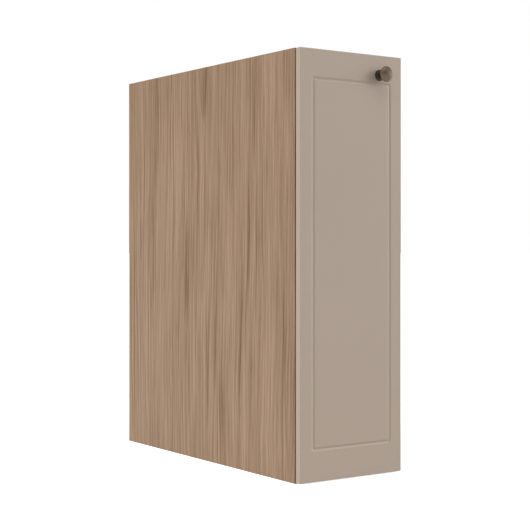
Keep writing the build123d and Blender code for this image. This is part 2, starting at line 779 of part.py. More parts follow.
strike_face_y = door_back_y + strike_thickness
strike_screw_plane = Plane(
    origin=(catch_centre_x, strike_face_y, catch_z), x_dir=(1, 0, 0), z_dir=(0, 0, -1)
)
strike_screw_axis = Axis((catch_centre_x, strike_face_y, catch_z), (0, -1, 0))
with BuildPart() as strike_plate:
    with BuildSketch(back_face):
        with Locations((catch_centre_x, catch_z)):
            RectangleRounded(strike_width, strike_length, strike_screw_head_radius)
    extrude(amount=-strike_thickness)
    with BuildSketch(strike_screw_plane):
        with BuildLine():
            Polyline(
                (0, 0),
                (strike_screw_head_radius, 0),
                (strike_screw_radius, strike_thickness),
                (0, strike_thickness),
                close=True,
            )
        make_face()
    revolve(axis=strike_screw_axis, mode=Mode.SUBTRACT)
finish(strike_plate, "strike_plate")

with BuildPart() as strike_screw:
    with BuildSketch(strike_screw_plane):
        with BuildLine():
            Polyline(
                (0, 0),
                (strike_screw_head_radius, 0),
                (strike_screw_radius, strike_thickness),
                (strike_screw_radius, strike_thickness + strike_screw_length),
                (0, strike_thickness + strike_screw_length),
                close=True,
            )
        make_face()
    revolve(axis=strike_screw_axis)
finish(strike_screw, "strike_screw")

# ---- bumpers: soft pads between the door's free edge and the right side panel ---------
with BuildPart() as door_bumpers:
    with BuildSketch(back_face):
        for bumper_z in (door_bottom_z + bumper_from_end, door_top_z - bumper_from_end):
            with Locations((door_right_x - bumper_inset, bumper_z)):
                Circle(bumper_radius)
    extrude(amount=-bumper_thickness)
finish(door_bumpers, "door_bumpers")
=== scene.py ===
"""Narrow kitchen base cabinet with one painted door: its looks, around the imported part.

Metres, in the part's own frame: the front faces -Y and +Z is up.
"""

import json
import math

import bmesh
import bpy
from mathutils import Matrix, Vector

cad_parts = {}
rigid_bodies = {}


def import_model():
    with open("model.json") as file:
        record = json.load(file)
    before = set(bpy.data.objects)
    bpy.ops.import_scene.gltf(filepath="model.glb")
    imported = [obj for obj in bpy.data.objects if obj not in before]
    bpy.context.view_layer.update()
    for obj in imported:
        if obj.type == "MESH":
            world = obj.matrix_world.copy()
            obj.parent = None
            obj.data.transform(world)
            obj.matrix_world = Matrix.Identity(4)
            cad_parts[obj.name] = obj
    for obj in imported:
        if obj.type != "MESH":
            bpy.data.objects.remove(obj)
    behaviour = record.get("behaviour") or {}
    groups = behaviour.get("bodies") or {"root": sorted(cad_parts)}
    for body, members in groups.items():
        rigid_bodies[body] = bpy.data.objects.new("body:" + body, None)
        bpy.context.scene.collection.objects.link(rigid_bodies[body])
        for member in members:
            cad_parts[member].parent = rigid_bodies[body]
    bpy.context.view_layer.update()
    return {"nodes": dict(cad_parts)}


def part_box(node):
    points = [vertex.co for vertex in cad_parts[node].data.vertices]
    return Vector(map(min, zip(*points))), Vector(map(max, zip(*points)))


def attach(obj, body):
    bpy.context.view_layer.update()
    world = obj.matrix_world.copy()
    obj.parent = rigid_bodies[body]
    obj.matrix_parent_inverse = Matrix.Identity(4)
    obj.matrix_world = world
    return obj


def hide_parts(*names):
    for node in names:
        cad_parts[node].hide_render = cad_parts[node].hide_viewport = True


for leftover in list(bpy.data.objects):
    bpy.data.objects.remove(leftover, do_unlink=True)
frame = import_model()


# ---- camera --------------------------------------------------------------------------
# A view of the left side and the front, from a little over half the height. The camera
# is level, and the lens is shifted instead of tilted, so upright edges stay upright.
camera_place = Vector((-1.2233, -1.7970, 0.3584))
camera_heading = Vector((0.5707, 0.8211, 0.0))
camera_data = bpy.data.cameras.new("studio_camera")
camera_data.sensor_width = 36.0
camera_data.lens = 85.5
camera_data.shift_y = -0.034
camera_data.clip_end = 200.0
camera = bpy.data.objects.new("studio_camera", camera_data)
camera.location = camera_place
camera.rotation_euler = camera_heading.to_track_quat("-Z", "Y").to_euler()
bpy.context.scene.collection.objects.link(camera)
bpy.context.scene.camera = camera


# ---- floor and light -----------------------------------------------------------------
# A pale studio floor under a white surround. Broad lights come from the front right, from
# the left and behind, and from overhead, so both faces are evenly lit. A low one from the
# right brightens the rim of the knob.
class Signal:
    """A node's output, which takes part in plain arithmetic."""

    def __init__(self, graph, socket):
        self.graph = graph
        self.socket = socket

    def other(self, output):
        """Another output of the same node."""
        return Signal(self.graph, self.socket.node.outputs[output])

    def __add__(self, value):
        return self.graph.math("ADD", self, value)

    __radd__ = __add__

    def __sub__(self, value):
        return self.graph.math("SUBTRACT", self, value)

    def __rsub__(self, value):
        return self.graph.math("SUBTRACT", value, self)

    def __mul__(self, value):
        return self.graph.math("MULTIPLY", self, value)

    __rmul__ = __mul__

    def __truediv__(self, value):
        return self.graph.math("DIVIDE", self, value)

    def __rtruediv__(self, value):
        return self.graph.math("DIVIDE", value, self)

    def __pow__(self, value):
        return self.graph.math("POWER", self, value)

    def size(self):
        """The value without its sign."""
        return self.graph.math("ABSOLUTE", self)

    def held(self):
        """The value kept between 0 and 1."""
        return self.graph.math("ADD", self, 0.0, clamp=True)

    def above(self, start, end):
        """0 below start, 1 above end, smooth between them."""
        return self.graph.node(
            "ShaderNodeMapRange",
            {"interpolation_type": "SMOOTHSTEP"},
            {"Value": self, "From Min": start, "From Max": end},
        )


class Graph:
    """One node tree, for a material, the surround or a repeated shape."""

    def __init__(self, tree):
        self.tree = tree
        tree.nodes.clear()

    def node(self, kind, settings=None, inputs=None, output=0):
        """Adds a node; an input may be a number, a Signal or a list of Signals."""
        made = self.tree.nodes.new(kind)
        for key, value in (settings or {}).items():
            setattr(made, key, value)
        for key, value in (inputs or {}).items():
            socket = made.inputs[key]
            for one in value if isinstance(value, list) else [value]:
                if isinstance(one, Signal):
                    self.tree.links.new(one.socket, socket)
                else:
                    socket.default_value = one
        return Signal(self, made.outputs[output]) if made.outputs else made

    def math(self, operation, *values, clamp=False):
        settings = {"operation": operation, "use_clamp": clamp}
        return self.node("ShaderNodeMath", settings, dict(enumerate(values)))

    def vector(self, x=0.0, y=0.0, z=0.0):
        return self.node("ShaderNodeCombineXYZ", None, {0: x, 1: y, 2: z})

    def noise(self, place, detail=2.0, roughness=0.5, scale=1.0):
        return self.node(
            "ShaderNodeTexNoise",
            {"noise_dimensions": "3D"},
            {"Vector": place, "Scale": scale, "Detail": detail, "Roughness": roughness},
        )

    def mixed(self, amount, first, second):
        """The colour `first` at 0 and `second` at 1."""
        settings = {"data_type": "RGBA", "clamp_factor": True}
        return self.node("ShaderNodeMix", settings, {0: amount, 6: first, 7: second}, output=2)

    def bump(self, height, strength, distance, invert=False):
        """Fine relief from a height signal, at most `distance` metres deep."""
        values = {"Strength": strength, "Distance": distance, "Height": height}
        return self.node("ShaderNodeBump", {"invert": invert}, values)

    def surface(self, shader):
        """Ends a material with its shader."""
        self.node("ShaderNodeOutputMaterial", None, {"Surface": shader})


bpy.context.scene.view_settings.view_transform = "Standard"
bpy.context.scene.view_settings.look = "None"
surround = bpy.data.worlds.new("white_surround")
bpy.context.scene.world = surround
surround.use_nodes = True
air = Graph(surround.node_tree)
white = (1.0, 1.0, 1.0, 1.0)
surround_light = 0.42  # what the surround casts, beside the 1.0 that is seen
seen = air.node("ShaderNodeBackground", None, {"Color": white, "Strength": 1.0})
cast = air.node("ShaderNodeBackground", None, {"Color": white, "Strength": surround_light})
direct = air.node("ShaderNodeLightPath")
either = air.node("ShaderNodeMixShader", None, {0: direct, 1: cast, 2: seen})
air.node("ShaderNodeOutputWorld", None, {"Surface": either})


def soft_sun(name, heading, strength, spread):
    """A far light that is `spread` degrees wide, and so casts soft-edged shadows."""
    lamp = bpy.data.lights.new(name, "SUN")
    lamp.energy = strength
    lamp.angle = math.radians(spread)
    sun = bpy.data.objects.new(name, lamp)
    sun.rotation_euler = Vector(heading).to_track_quat("-Z", "Y").to_euler()
    bpy.context.scene.collection.objects.link(sun)


soft_sun("front_light", (-1.00, 1.0, -0.40), 1.54, 44.0)
soft_sun("left_light", (1.0, -0.35, -0.42), 2.35, 30.0)
soft_sun("overhead_light", (0.10, 0.33, -1.0), 1.75, 60.0)
soft_sun("right_light", (-1.0, 0.12, -0.12), 0.85, 30.0)

floor_reach = 60.0
floor_level = -0.0006  # just clear of the cabinet's underside
floor_corners = [
    (way_x * floor_reach, way_y * floor_reach, floor_level)
    for way_x, way_y in ((-1, -1), (1, -1), (1, 1), (-1, 1))
]
floor_mesh = bpy.data.meshes.new("studio_floor")
floor_mesh.from_pydata(floor_corners, [], [(0, 1, 2, 3)])
floor = bpy.data.objects.new("studio_floor", floor_mesh)
bpy.context.scene.collection.objects.link(floor)
floor_white = bpy.data.materials.new("studio_floor_white")
floor_white.use_nodes = True
floor_graph = Graph(floor_white.node_tree)
floor_values = {
    "Base Color": (0.93, 0.93, 0.93, 1.0),
    "Roughness": 0.9,
    "Specular IOR Level": 0.1,
    "Emission Color": white,
    "Emission Strength": 0.72,
}
floor_graph.surface(floor_graph.node("ShaderNodeBsdfPrincipled", None, floor_values))
floor_mesh.materials.append(floor_white)
floor.visible_diffuse = False


# ---- side panels ---------------------------------------------------------------------
# Melamine-faced chipboard, 12 mm, printed with an upright brown elm decor on both broad
# faces. The sawn edges and the walls of every bore show the raw chipboard.
def material(name, colour, roughness, **others):
    """A Principled surface, whose values are fixed or made in its graph by a function."""
    made = bpy.data.materials.new(name)
    made.use_nodes = True
    graph = Graph(made.node_tree)
    values = {"Base Color": colour, "Roughness": roughness}
    values.update((key.replace("_", " "), value) for key, value in others.items())
    made_values = {key: value(graph) if callable(value) else value for key, value in values.items()}
    graph.surface(graph.node("ShaderNodeBsdfPrincipled", None, made_values))
    made.diffuse_color = (0.4, 0.33, 0.28, 1.0)
    return made


def object_axes(graph):
    """The point on the piece, as separate x, y and z in metres."""
    place = graph.node("ShaderNodeTexCoord", None, None, output="Object")
    apart = graph.node("ShaderNodeSeparateXYZ", None, {0: place})
    return {"x": apart, "y": apart.other(1), "z": apart.other(2)}


decor_light = (0.318, 0.203, 0.125, 1.0)
decor_dark = (0.122, 0.056, 0.013, 1.0)
ring_spacing = 0.0085
log_depth = 0.034  # how far the cut lies from the middle of the log
log_taper = 0.030  # how much thinner the log grows, per metre of its length


def elm_decor(name, across, along, shift=(0.0, 0.0), heart=0.0, streaks=()):
    """The printed elm: `across` and `along` are the axes over and along the grain.

    `shift` picks the part of the log, `heart` is where its middle lies, and each streak is
    a darker patch: its middle across and along, its half width and length, and its depth.
    """

    def paint(graph):
        axes = object_axes(graph)
        flat_u = axes[across] + shift[0]
        v = axes[along] + shift[1]
        wander = graph.noise(graph.vector(flat_u * 5.0, v * 1.6, 0.3), 1.0) - 0.5
        waver = graph.noise(graph.vector(flat_u * 22.0, v * 6.0, 4.1), 1.0) - 0.5
        u = flat_u + wander * 0.034 + waver * 0.0080
        # growth rings of a tapering log, cut lengthwise: arches in the middle, lines beside
        offset = u - heart
        radius = (offset * offset + log_depth**2) ** 0.5 - v * log_taper
        uneven = graph.noise(graph.vector(radius * 34.0, 0.0, 7.7), 1.0) - 0.5
        phase = radius / ring_spacing + uneven * 2.2
        late = graph.math("FRACT", phase) ** 2.2
        fade = graph.noise(graph.vector(u * 20.0, v * 3.6, 1.9), 1.0).above(0.36, 0.66)
        # tone of the leaf, then bands, broken lines, fibres and short dark pores
        tone = graph.noise(graph.vector(u * 13.0, v * 0.7, 2.2), 2.0) - 0.5
        band = graph.noise(graph.vector(u * 55.0, v * 1.5, 5.5), 2.0, 0.6) - 0.5
        line = graph.noise(graph.vector(u * 255.0, v * 3.6, 8.8), 3.0, 0.66) - 0.5
        fibre = graph.noise(graph.vector(u * 560.0, v * 13.0, 3.3), 2.0, 0.6) - 0.5
        pores = graph.noise(graph.vector(u * 900.0, v * 40.0, 6.6), 1.0).above(0.60, 0.74)
        dark_line = graph.noise(graph.vector(u * 165.0, v * 2.1, 9.4), 1.0).above(0.60, 0.76)
        pale_line = graph.noise(graph.vector(u * 150.0, v * 2.4, 1.2), 1.0).above(0.60, 0.78)
        amount = 0.30 + tone * 0.56 + band * 0.66 + line * 1.36 + fibre * 0.86
        amount = amount + late * fade * 0.36 + pores * 0.18 + dark_line * 0.40 - pale_line * 0.28
        for middle_u, middle_v, half_width, half_length, depth in streaks:
            wavy_u = flat_u + wander * 0.012 + waver * 0.004
            over = (1.0 - ((wavy_u - middle_u) / half_width).size()).above(0.0, 1.0)
            down = (1.0 - ((v - middle_v) / half_length).size()).above(0.0, 0.8)
            amount = amount + over * down * (line * 3.2 + 1.5) * depth
        paint.amount = amount
        paint.pores = pores
        return graph.mixed(amount.held(), decor_light, decor_dark)

    return material(
        name,
        paint,
        lambda graph: 0.50 + paint.amount.held() * 0.10,
        Specular_IOR_Level=0.35,
        Normal=lambda graph: graph.bump(paint.amount * 0.4 + paint.pores, 0.28, 0.00012, True),
    )


def chipboard(name):
    """Raw particle board: pale and brown chips pressed flat, slightly rough."""

    def paint(graph):
        place = graph.node("ShaderNodeTexCoord", None, None, output="Object")
        cells = {"Vector": place, "Scale": 620.0}
        chips = graph.node("ShaderNodeTexVoronoi", None, cells, output="Color")
        shade = graph.node("ShaderNodeSeparateColor", None, {0: chips})
        clumps = graph.noise(place, 3.0, 0.6, scale=210.0)
        paint.height = shade * 0.6 + clumps
        amount = (shade * 0.7 + clumps * 0.5 - 0.1).held()
        return graph.mixed(amount, (0.50, 0.36, 0.22, 1.0), (0.24, 0.145, 0.075, 1.0))

    return material(
        name,
        paint,
        0.88,
        Specular_IOR_Level=0.2,
        Normal=lambda graph: graph.bump(paint.height, 0.55, 0.0003),
    )


left_streaks = (
    (0.058, 0.325, 0.011, 0.115, 0.34),
    (-0.006, 0.640, 0.013, 0.085, 0.30),
    (-0.036, 0.235, 0.010, 0.170, 0.26),
    (-0.149, 0.600, 0.010, 0.130, 0.26),
    (-0.238, 0.630, 0.012, 0.080, 0.20),
    (0.214, 0.370, 0.009, 0.055, 0.24),
    (0.156, 0.560, 0.006, 0.170, 0.20),
    (0.118, 0.100, 0.008, 0.120, 0.18),
)
left_decor = elm_decor("elm_decor_left_side", "y", "z", heart=0.005, streaks=left_streaks)
right_decor = elm_decor("elm_decor_right_side", "y", "z", shift=(1.7, 2.3), heart=1.68)
raw_board = chipboard("raw_chipboard")


def keep(made, name, body, slot, *nodes):
    """Names a finished piece, and says what it rides on and stands for; `slot` is not used."""
    made.name = name
    made.data.name = name
    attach(made, body)
    if nodes:
        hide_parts(*nodes)
    return made


def piece_of(mesh, name):
    made = bpy.data.objects.new(name, mesh)
    bpy.context.scene.collection.objects.link(made)
    return made


def settled(piece):
    """Turns a piece's modifiers into plain mesh."""
    bpy.context.view_layer.update()
    ready = piece.evaluated_get(bpy.context.evaluated_depsgraph_get())
    plain = bpy.data.meshes.new_from_object(ready)
    piece.modifiers.clear()
    spent = piece.data
    piece.data = plain
    if not spent.users:
        bpy.data.meshes.remove(spent)
    return piece


crease_turn = 0.30  # radians: an edge that turns more than this is shaded as a crease


def crisp(mesh, turn=crease_turn):
    """Shades curves smoothly up to the edges that turn more than `turn`, and flat faces flat."""
    mesh.shade_smooth()
    mesh.set_sharp_from_angle(angle=turn)
    for face in mesh.polygons:
        if face.loop_total > 4:
            face.use_smooth = False


def eased(piece, width, segments):
    """Breaks a piece's sharp edges by `width`, as a file or an arris cutter does."""
    soft = piece.modifiers.new("eased_edges", "BEVEL")
    soft.width = width
    soft.segments = segments
    soft.limit_method = "ANGLE"
    soft.angle_limit = 0.6  # radians, so the facets of round parts stay as they are
    settled(piece)
    crisp(piece.data)
    return piece


def worked_copy(node, finishes, rule=None, ease=0.00025, segments=2):
    """A welded copy of a CAD piece with eased edges; rule(face) picks one of `finishes`."""
    shape = bmesh.new()
    shape.from_mesh(frame["nodes"][node].data)
    bmesh.ops.remove_doubles(shape, verts=shape.verts, dist=1e-6)
    bmesh.ops.dissolve_limit(shape, angle_limit=0.008, verts=shape.verts, edges=shape.edges)
    for face in shape.faces:
        face.material_index = rule(face) if rule else 0
    mesh = bpy.data.meshes.new(node + "_work")
    shape.to_mesh(mesh)
    shape.free()
    for finish in finishes:
        mesh.materials.append(finish)
    return eased(piece_of(mesh, node + "_work"), ease, segments)


def on_broad_face(node, axis):
    """A rule for a board: 0 on its two broad faces across `axis`, 1 on every other face."""
    low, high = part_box(node)

    def rule(face):
        level = face.calc_center_median()[axis]
        across = abs(face.normal[axis]) > 0.99
        outermost = min(abs(level - low[axis]), abs(level - high[axis])) < 1e-5
        return 0 if across and outermost else 1

    return rule


for side, decor in (("left", left_decor), ("right", right_decor)):
    node = side + "_side_panel"
    board = worked_copy(node, (decor, raw_board), on_broad_face(node, 0))
    keep(board, side + "_side_board", "carcass", "wood_decor", node)


# ---- top, bottom, rear rail and shelves ----------------------------------------------
# The same 12 mm board, with the grain running front to back on the wide pieces and
# across on the rail. Cams, dowels and pins hold them between the sides.
level_decor = elm_decor("elm_decor_levels", "x", "y", shift=(0.9, 0.4), heart=0.88)
top_decor = elm_decor("elm_decor_top", "x", "y", shift=(2.6, 1.1), heart=2.62)
shelf_decor = elm_decor("elm_decor_shelves", "x", "y", shift=(4.1, 3.2), heart=4.07)
rail_decor = elm_decor("elm_decor_rail", "z", "x", shift=(-0.3, 0.6), heart=0.30)
for node, axis, decor in (
    ("top_panel", 2, top_decor),
    ("bottom_panel", 2, level_decor),
    ("lower_shelf", 2, shelf_decor),
    ("upper_shelf", 2, shelf_decor),
    ("rear_rail", 1, rail_decor),
):
    board = worked_copy(node, (decor, raw_board), on_broad_face(node, axis))
    keep(board, node.replace("_panel", "") + "_board", "carcass", "wood_decor", node)


# ---- front edge bands ----------------------------------------------------------------
# Printed strips 0.8 mm thick, glued over the sawn front edges and scraped to a fine
# radius. The grain runs along each strip.
upright_band = elm_decor("elm_band_upright", "x", "z", shift=(0.35, 1.4), heart=0.2)
level_band = elm_decor("elm_band_level", "z", "x", shift=(0.15, 2.2), heart=0.9)
for node, decor in (
    ("left_edge_band", upright_band),
    ("right_edge_band", upright_band),
    ("top_edge_band", level_band),
    ("bottom_edge_band", level_band),
    ("lower_shelf_edge_band", level_band),
    ("upper_shelf_edge_band", level_band),
):
    strip = worked_copy(node, (decor,), ease=0.0003)
    keep(strip, node + "_strip", "carcass", "edge_band", node)


# ---- back panel ----------------------------------------------------------------------
# Hardboard, 3 mm, slid into grooves in the boards. Its inner face is printed with the
# decor, and its outer face shows the pressed brown fibre with the print of the mesh.
def fibre_back(graph):
    axes = object_axes(graph)
    place = graph.node("ShaderNodeTexCoord", None, None, output="Object")
    clouds = graph.noise(place, 3.0, 0.6, scale=60.0)
    fluff = graph.noise(place, 2.0, 0.7, scale=900.0)
    weave = graph.math("SINE", axes["x"] * 2600.0) * graph.math("SINE", axes["z"] * 2600.0)
    fibre_back.height = fluff * 0.7 + weave * 0.35
    amount = (clouds * 0.6 + fluff * 0.5 - 0.1).held()
    return graph.mixed(amount, (0.30, 0.185, 0.100, 1.0), (0.150, 0.085, 0.042, 1.0))


back_fibre = material(
    "hardboard_fibre",
    fibre_back,
    0.85,
    Specular_IOR_Level=0.2,
    Normal=lambda graph: graph.bump(fibre_back.height, 0.6, 0.0003),
)
back_decor = elm_decor("elm_decor_back", "x", "z", shift=(5.3, 0.8), heart=5.31)


def inner_face_first(face):
    return 0 if face.normal.y < -0.9 else 1


back = worked_copy("back_panel", (back_decor, back_fibre), inner_face_first)
keep(back, "back_board", "carcass", "hardboard", "back_panel")


# ---- door ----------------------------------------------------------------------------
# A 12 mm fibreboard front, routed with a shallow V-shaped frame line and sprayed with a
# satin greige paint. The cutter leaves the line's outer corners round.
door_low, door_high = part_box("door_panel")
door_front = door_low.y
door_back = door_high.y
front_round = 0.0010
back_round = 0.0015
outline_radius = 0.0010
corner_steps = 10
line_from_side = 0.0244  # door edge to the middle of the routed line
line_from_top = 0.0455
line_from_bottom = 0.0498
line_half_width = 0.00325
line_depth = 0.0012
line_corner = 0.0011  # how far the paint rounds the line's inner corners
line_lip = 0.0006  # paint-softened turn from the face into the line
line_steps = 14


def rounded_ring(inset_side, inset_bottom, inset_top, radius, y):
    """Points round a rounded rectangle inside the door's outline, at one depth."""
    left = door_low.x + inset_side + radius
    right = door_high.x - inset_side - radius
    low = door_low.z + inset_bottom + radius
    high = door_high.z - inset_top - radius
    corners = ((right, low, -90.0), (right, high, 0.0), (left, high, 90.0), (left, low, 180.0))
    points = []
    for middle_x, middle_z, start in corners:
        for step in range(corner_steps + 1):
            turn = math.radians(start + 90.0 * step / corner_steps)
            x = middle_x + radius * math.cos(turn)
            z = middle_z + radius * math.sin(turn)
            points.append((x, y, z))
    return points


def edge_ring(inset, y):
    """A ring of the door's outline, set in evenly all round."""
    least_radius = 0.0001
    return rounded_ring(inset, inset, inset, max(outline_radius - inset, least_radius), y)


def line_ring(out, depth):
    """A ring of the routed line: `out` is measured outwards from the line's middle."""
    return rounded_ring(
        line_from_side - out,
        line_from_bottom - out,
        line_from_top - out,
        max(out, 0.0) + line_corner,
        door_front + depth,
    )


def line_profile(out):
    """Depth of the routed line at a distance from its middle: a V with soft lips and foot."""
    reach = line_half_width
    foot = 0.00025
    soft_foot = line_depth * (1.0 - math.hypot(out, foot) / reach)
    lip = max(0.0, (abs(out) - (reach - line_lip)) / line_lip)
    return max(0.0, soft_foot * (1.0 - 0.35 * lip * lip))


margin = 0.0002  # a flat ring beside each curve, which holds the flat faces flat
turn_steps = 6
quarter = [math.radians(90.0 * step / turn_steps) for step in range(turn_steps + 1)]
rings = [edge_ring(back_round + margin, door_back)]
for turn in quarter:
    depth = door_back - back_round * (1 - math.cos(turn))
    rings.append(edge_ring(back_round * (1 - math.sin(turn)), depth))
for turn in quarter:
    depth = door_front + front_round * (1 - math.sin(turn))
    rings.append(edge_ring(front_round * (1 - math.cos(turn)), depth))
rings.append(edge_ring(front_round + margin, door_front))
rings.append(line_ring(line_half_width + margin, 0.0))
for step in range(2 * line_steps + 1):
    out = line_half_width * (1.0 - step / line_steps)
    rings.append(line_ring(out, line_profile(out)))
rings.append(line_ring(-line_half_width - margin, 0.0))

door_shape = bmesh.new()
ring_verts = [[door_shape.verts.new(point) for point in ring] for ring in rings]
for first, second in zip(ring_verts, ring_verts[1:]):
    for place in range(len(first)):
        after = (place + 1) % len(first)
        door_shape.faces.new((first[place], first[after], second[after], second[place]))
door_shape.faces.new(ring_verts[0])
door_shape.faces.new(ring_verts[-1])
bmesh.ops.recalc_face_normals(door_shape, faces=door_shape.faces)
door_mesh = bpy.data.meshes.new("door_work")
door_shape.to_mesh(door_mesh)
door_shape.free()
door = piece_of(door_mesh, "door_work")


def satin_greige(graph):
    place = graph.node("ShaderNodeTexCoord", None, None, output="Object")
    cloud = graph.noise(place, 2.0, 0.5, scale=9.0) - 0.5
    peel = graph.noise(place, 2.0, 0.55, scale=520.0)
    satin_greige.peel = peel
    satin_greige.cloud = cloud
    amount = (0.5 + cloud * 0.5 + (peel - 0.5) * 0.25).held()
    return graph.mixed(amount, (0.386, 0.309, 0.246, 1.0), (0.372, 0.298, 0.237, 1.0))


door_paint = material(
    "satin_greige_paint",
    satin_greige,
    lambda graph: 0.54 + satin_greige.cloud * 0.06,
    Specular_IOR_Level=0.3,
    Normal=lambda graph: graph.bump(satin_greige.peel, 0.10, 0.00008),
)


def fibreboard(graph):
    place = graph.node("ShaderNodeTexCoord", None, None, output="Object")
    fluff = graph.noise(place, 3.0, 0.65, scale=700.0)
    return graph.mixed(fluff, (0.46, 0.34, 0.21, 1.0), (0.30, 0.20, 0.115, 1.0))


bored_fibreboard = material("bored_fibreboard", fibreboard, 0.9, Specular_IOR_Level=0.2)


def rod(shape, start, end, radius, sides):
    """Adds a closed round bar between two points to a bmesh."""
    start, end = Vector(start), Vector(end)
    aim = end - start
    turned_to_aim = aim.to_track_quat("Z", "Y").to_matrix().to_4x4()
    bmesh.ops.create_cone(
        shape,
        cap_ends=True,
        segments=sides,
        radius1=radius,
        radius2=radius,
        depth=aim.length,
        matrix=Matrix.Translation((start + end) / 2) @ turned_to_aim,
    )


cup_fit = 0.0001  # clearance of the bore all round the cup
cup_radius = 0.0130
bore_radius = cup_radius + cup_fit
bores = bmesh.new()
for level in ("lower", "upper"):
    cup_low, cup_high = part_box(level + "_hinge_cup")
    cup_x = cup_low.x + cup_radius
    cup_z = (cup_low.z + cup_high.z) / 2
    floor_end = (cup_x, cup_low.y - cup_fit, cup_z)
    open_end = (cup_x, door_back + 0.002, cup_z)
    rod(bores, floor_end, open_end, bore_radius, 72)
bore_mesh = bpy.data.meshes.new("door_bores")
bores.to_mesh(bore_mesh)
bores.free()
bore_tool = piece_of(bore_mesh, "door_bores")
bore_mesh.materials.append(bored_fibreboard)
door_mesh.materials.append(door_paint)
door_mesh.materials.append(bored_fibreboard)
cut = door.modifiers.new("cup_bores", "BOOLEAN")
cut.operation = "DIFFERENCE"
cut.solver = "EXACT"
cut.material_mode = "TRANSFER"
cut.object = bore_tool
settled(door)
bpy.data.objects.remove(bore_tool, do_unlink=True)
crisp(door.data, 0.45)  # a larger turn, so that the routed line's lips and foot stay smooth
keep(door, "routed_door", "door", "door_paint", "door_panel")


# ---- knob and rose -------------------------------------------------------------------
# A turned mushroom knob on a round rose, both in antiqued bronze: dark in the hollows,
# rubbed lighter on the face and along the rims.
knob_low, knob_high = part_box("knob")
rose_low, rose_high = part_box("knob_rose")
knob_x = (knob_low.x + knob_high.x) / 2
knob_z = (knob_low.z + knob_high.z) / 2


def turned(profile, x, z, sides=96):
    """Turns (y, radius) points about a line along y through x and z, closed at both ends."""
    shape = bmesh.new()
    hoops = []
    for y, radius in profile:
        hoop = []
        for side in range(sides):
            turn = 2 * math.pi * side / sides
            hoop.append(shape.verts.new((x + radius * math.cos(turn), y, z + radius * math.sin(turn))))
        hoops.append(hoop)
    for first, second in zip(hoops, hoops[1:]):
        for side in range(sides):
            after = (side + 1) % sides
            shape.faces.new((first[side], first[after], second[after], second[side]))
    for hoop in (hoops[0], hoops[-1]):
        pole = shape.verts.new((x, hoop[0].co.y, z))
        for side in range(sides):
            shape.faces.new((hoop[side], hoop[(side + 1) % sides], pole))
    bmesh.ops.recalc_face_normals(shape, faces=shape.faces)
    mesh = bpy.data.meshes.new("turned_work")
    shape.to_mesh(mesh)
    shape.free()
    mesh.shade_smooth()
    return piece_of(mesh, "turned_work")


def flowing(points, steps=5):
    """A smooth run through points (Catmull-Rom), for a turned profile."""
    ends = [points[0], *points, points[-1]]
    run = []
    for index in range(1, len(ends) - 2):
        before, start, finish, after = (Vector(ends[index + offset]) for offset in (-1, 0, 1, 2))
        for step in range(steps):
            t = step / steps
            slope = (finish - before) * t
            bend = (2 * before - 5 * start + 4 * finish - after) * t**2
            twist = (3 * start - before - 3 * finish + after) * t**3
            run.append(0.5 * (2 * start + slope + bend + twist))
    run.append(Vector(points[-1]))
    return [tuple(point) for point in run]


def antique_bronze(name, rubbed, hollow):
    """Bronze about the knob's own axis, brightest at the radius `rubbed` and before y `hollow`."""

    def paint(graph):
        axes = object_axes(graph)
        across = axes["x"] - knob_x
        up = axes["z"] - knob_z
        radius = (across * across + up * up) ** 0.5
        place = graph.node("ShaderNodeTexCoord", None, None, output="Object")
        patina = graph.noise(place, 4.0, 0.65, scale=330.0)
        specks = graph.noise(place, 2.0, 0.6, scale=1500.0)
        turning = graph.noise(graph.vector(radius * 5200.0, 0.0, 0.0), 1.0) - 0.5
        worn = radius.above(rubbed * 0.55, rubbed) * 0.35 + (hollow - axes["y"]).above(0.0, 0.006)
        spots = (patina - 0.5) * 0.9 + (specks - 0.5) * 0.35 + turning * 0.12
        paint.amount = (worn * 0.62 + spots).held()
        paint.height = turning * 0.4 + patina * 0.6
        return graph.mixed(paint.amount, (0.024, 0.014, 0.009, 1.0), (0.138, 0.098, 0.069, 1.0))

    return material(
        name,
        paint,
        lambda graph: 0.58 - paint.amount * 0.12,
        Metallic=0.70,
        Specular_IOR_Level=0.5,
        Normal=lambda graph: graph.bump(paint.height, 0.22, 0.00010),
    )


head_radius = (knob_high.x - knob_low.x) / 2
rose_radius = (rose_high.x - rose_low.x) / 2
foot = rose_low.y  # where the knob's neck stands on the rose
tip = knob_low.y
neck = [
    (foot, 0.0052),
    (foot - 0.0004, 0.0053),
    (foot - 0.0009, 0.0050),
    (foot - 0.0014, 0.0047),
    (foot - 0.0035, 0.0044),
    (foot - 0.0063, 0.0047),
    (foot - 0.0079, 0.0055),
    (foot - 0.0095, 0.0076),
    (foot - 0.0109, 0.0104),
    (foot - 0.0116, 0.0118),
]
head = [
    (foot - 0.0121, head_radius - 0.00015),
    (foot - 0.0126, head_radius),
    (foot - 0.0131, head_radius - 0.0001),
    (foot - 0.0136, head_radius - 0.0006),
    (foot - 0.0139, head_radius - 0.0011),
    (foot - 0.0144, head_radius - 0.0014),
    (foot - 0.0156, head_radius - 0.0024),
    (foot - 0.0169, head_radius - 0.0043),
    (foot - 0.0181, 0.0058),
    (foot - 0.0190, 0.0032),
    (tip, 0.0008),
]
knob = turned(flowing(neck + head), knob_x, knob_z)
knob.data.materials.append(antique_bronze("antique_bronze_knob", head_radius, foot - 0.006))
keep(knob, "turned_knob", "door", "aged_bronze", "knob")

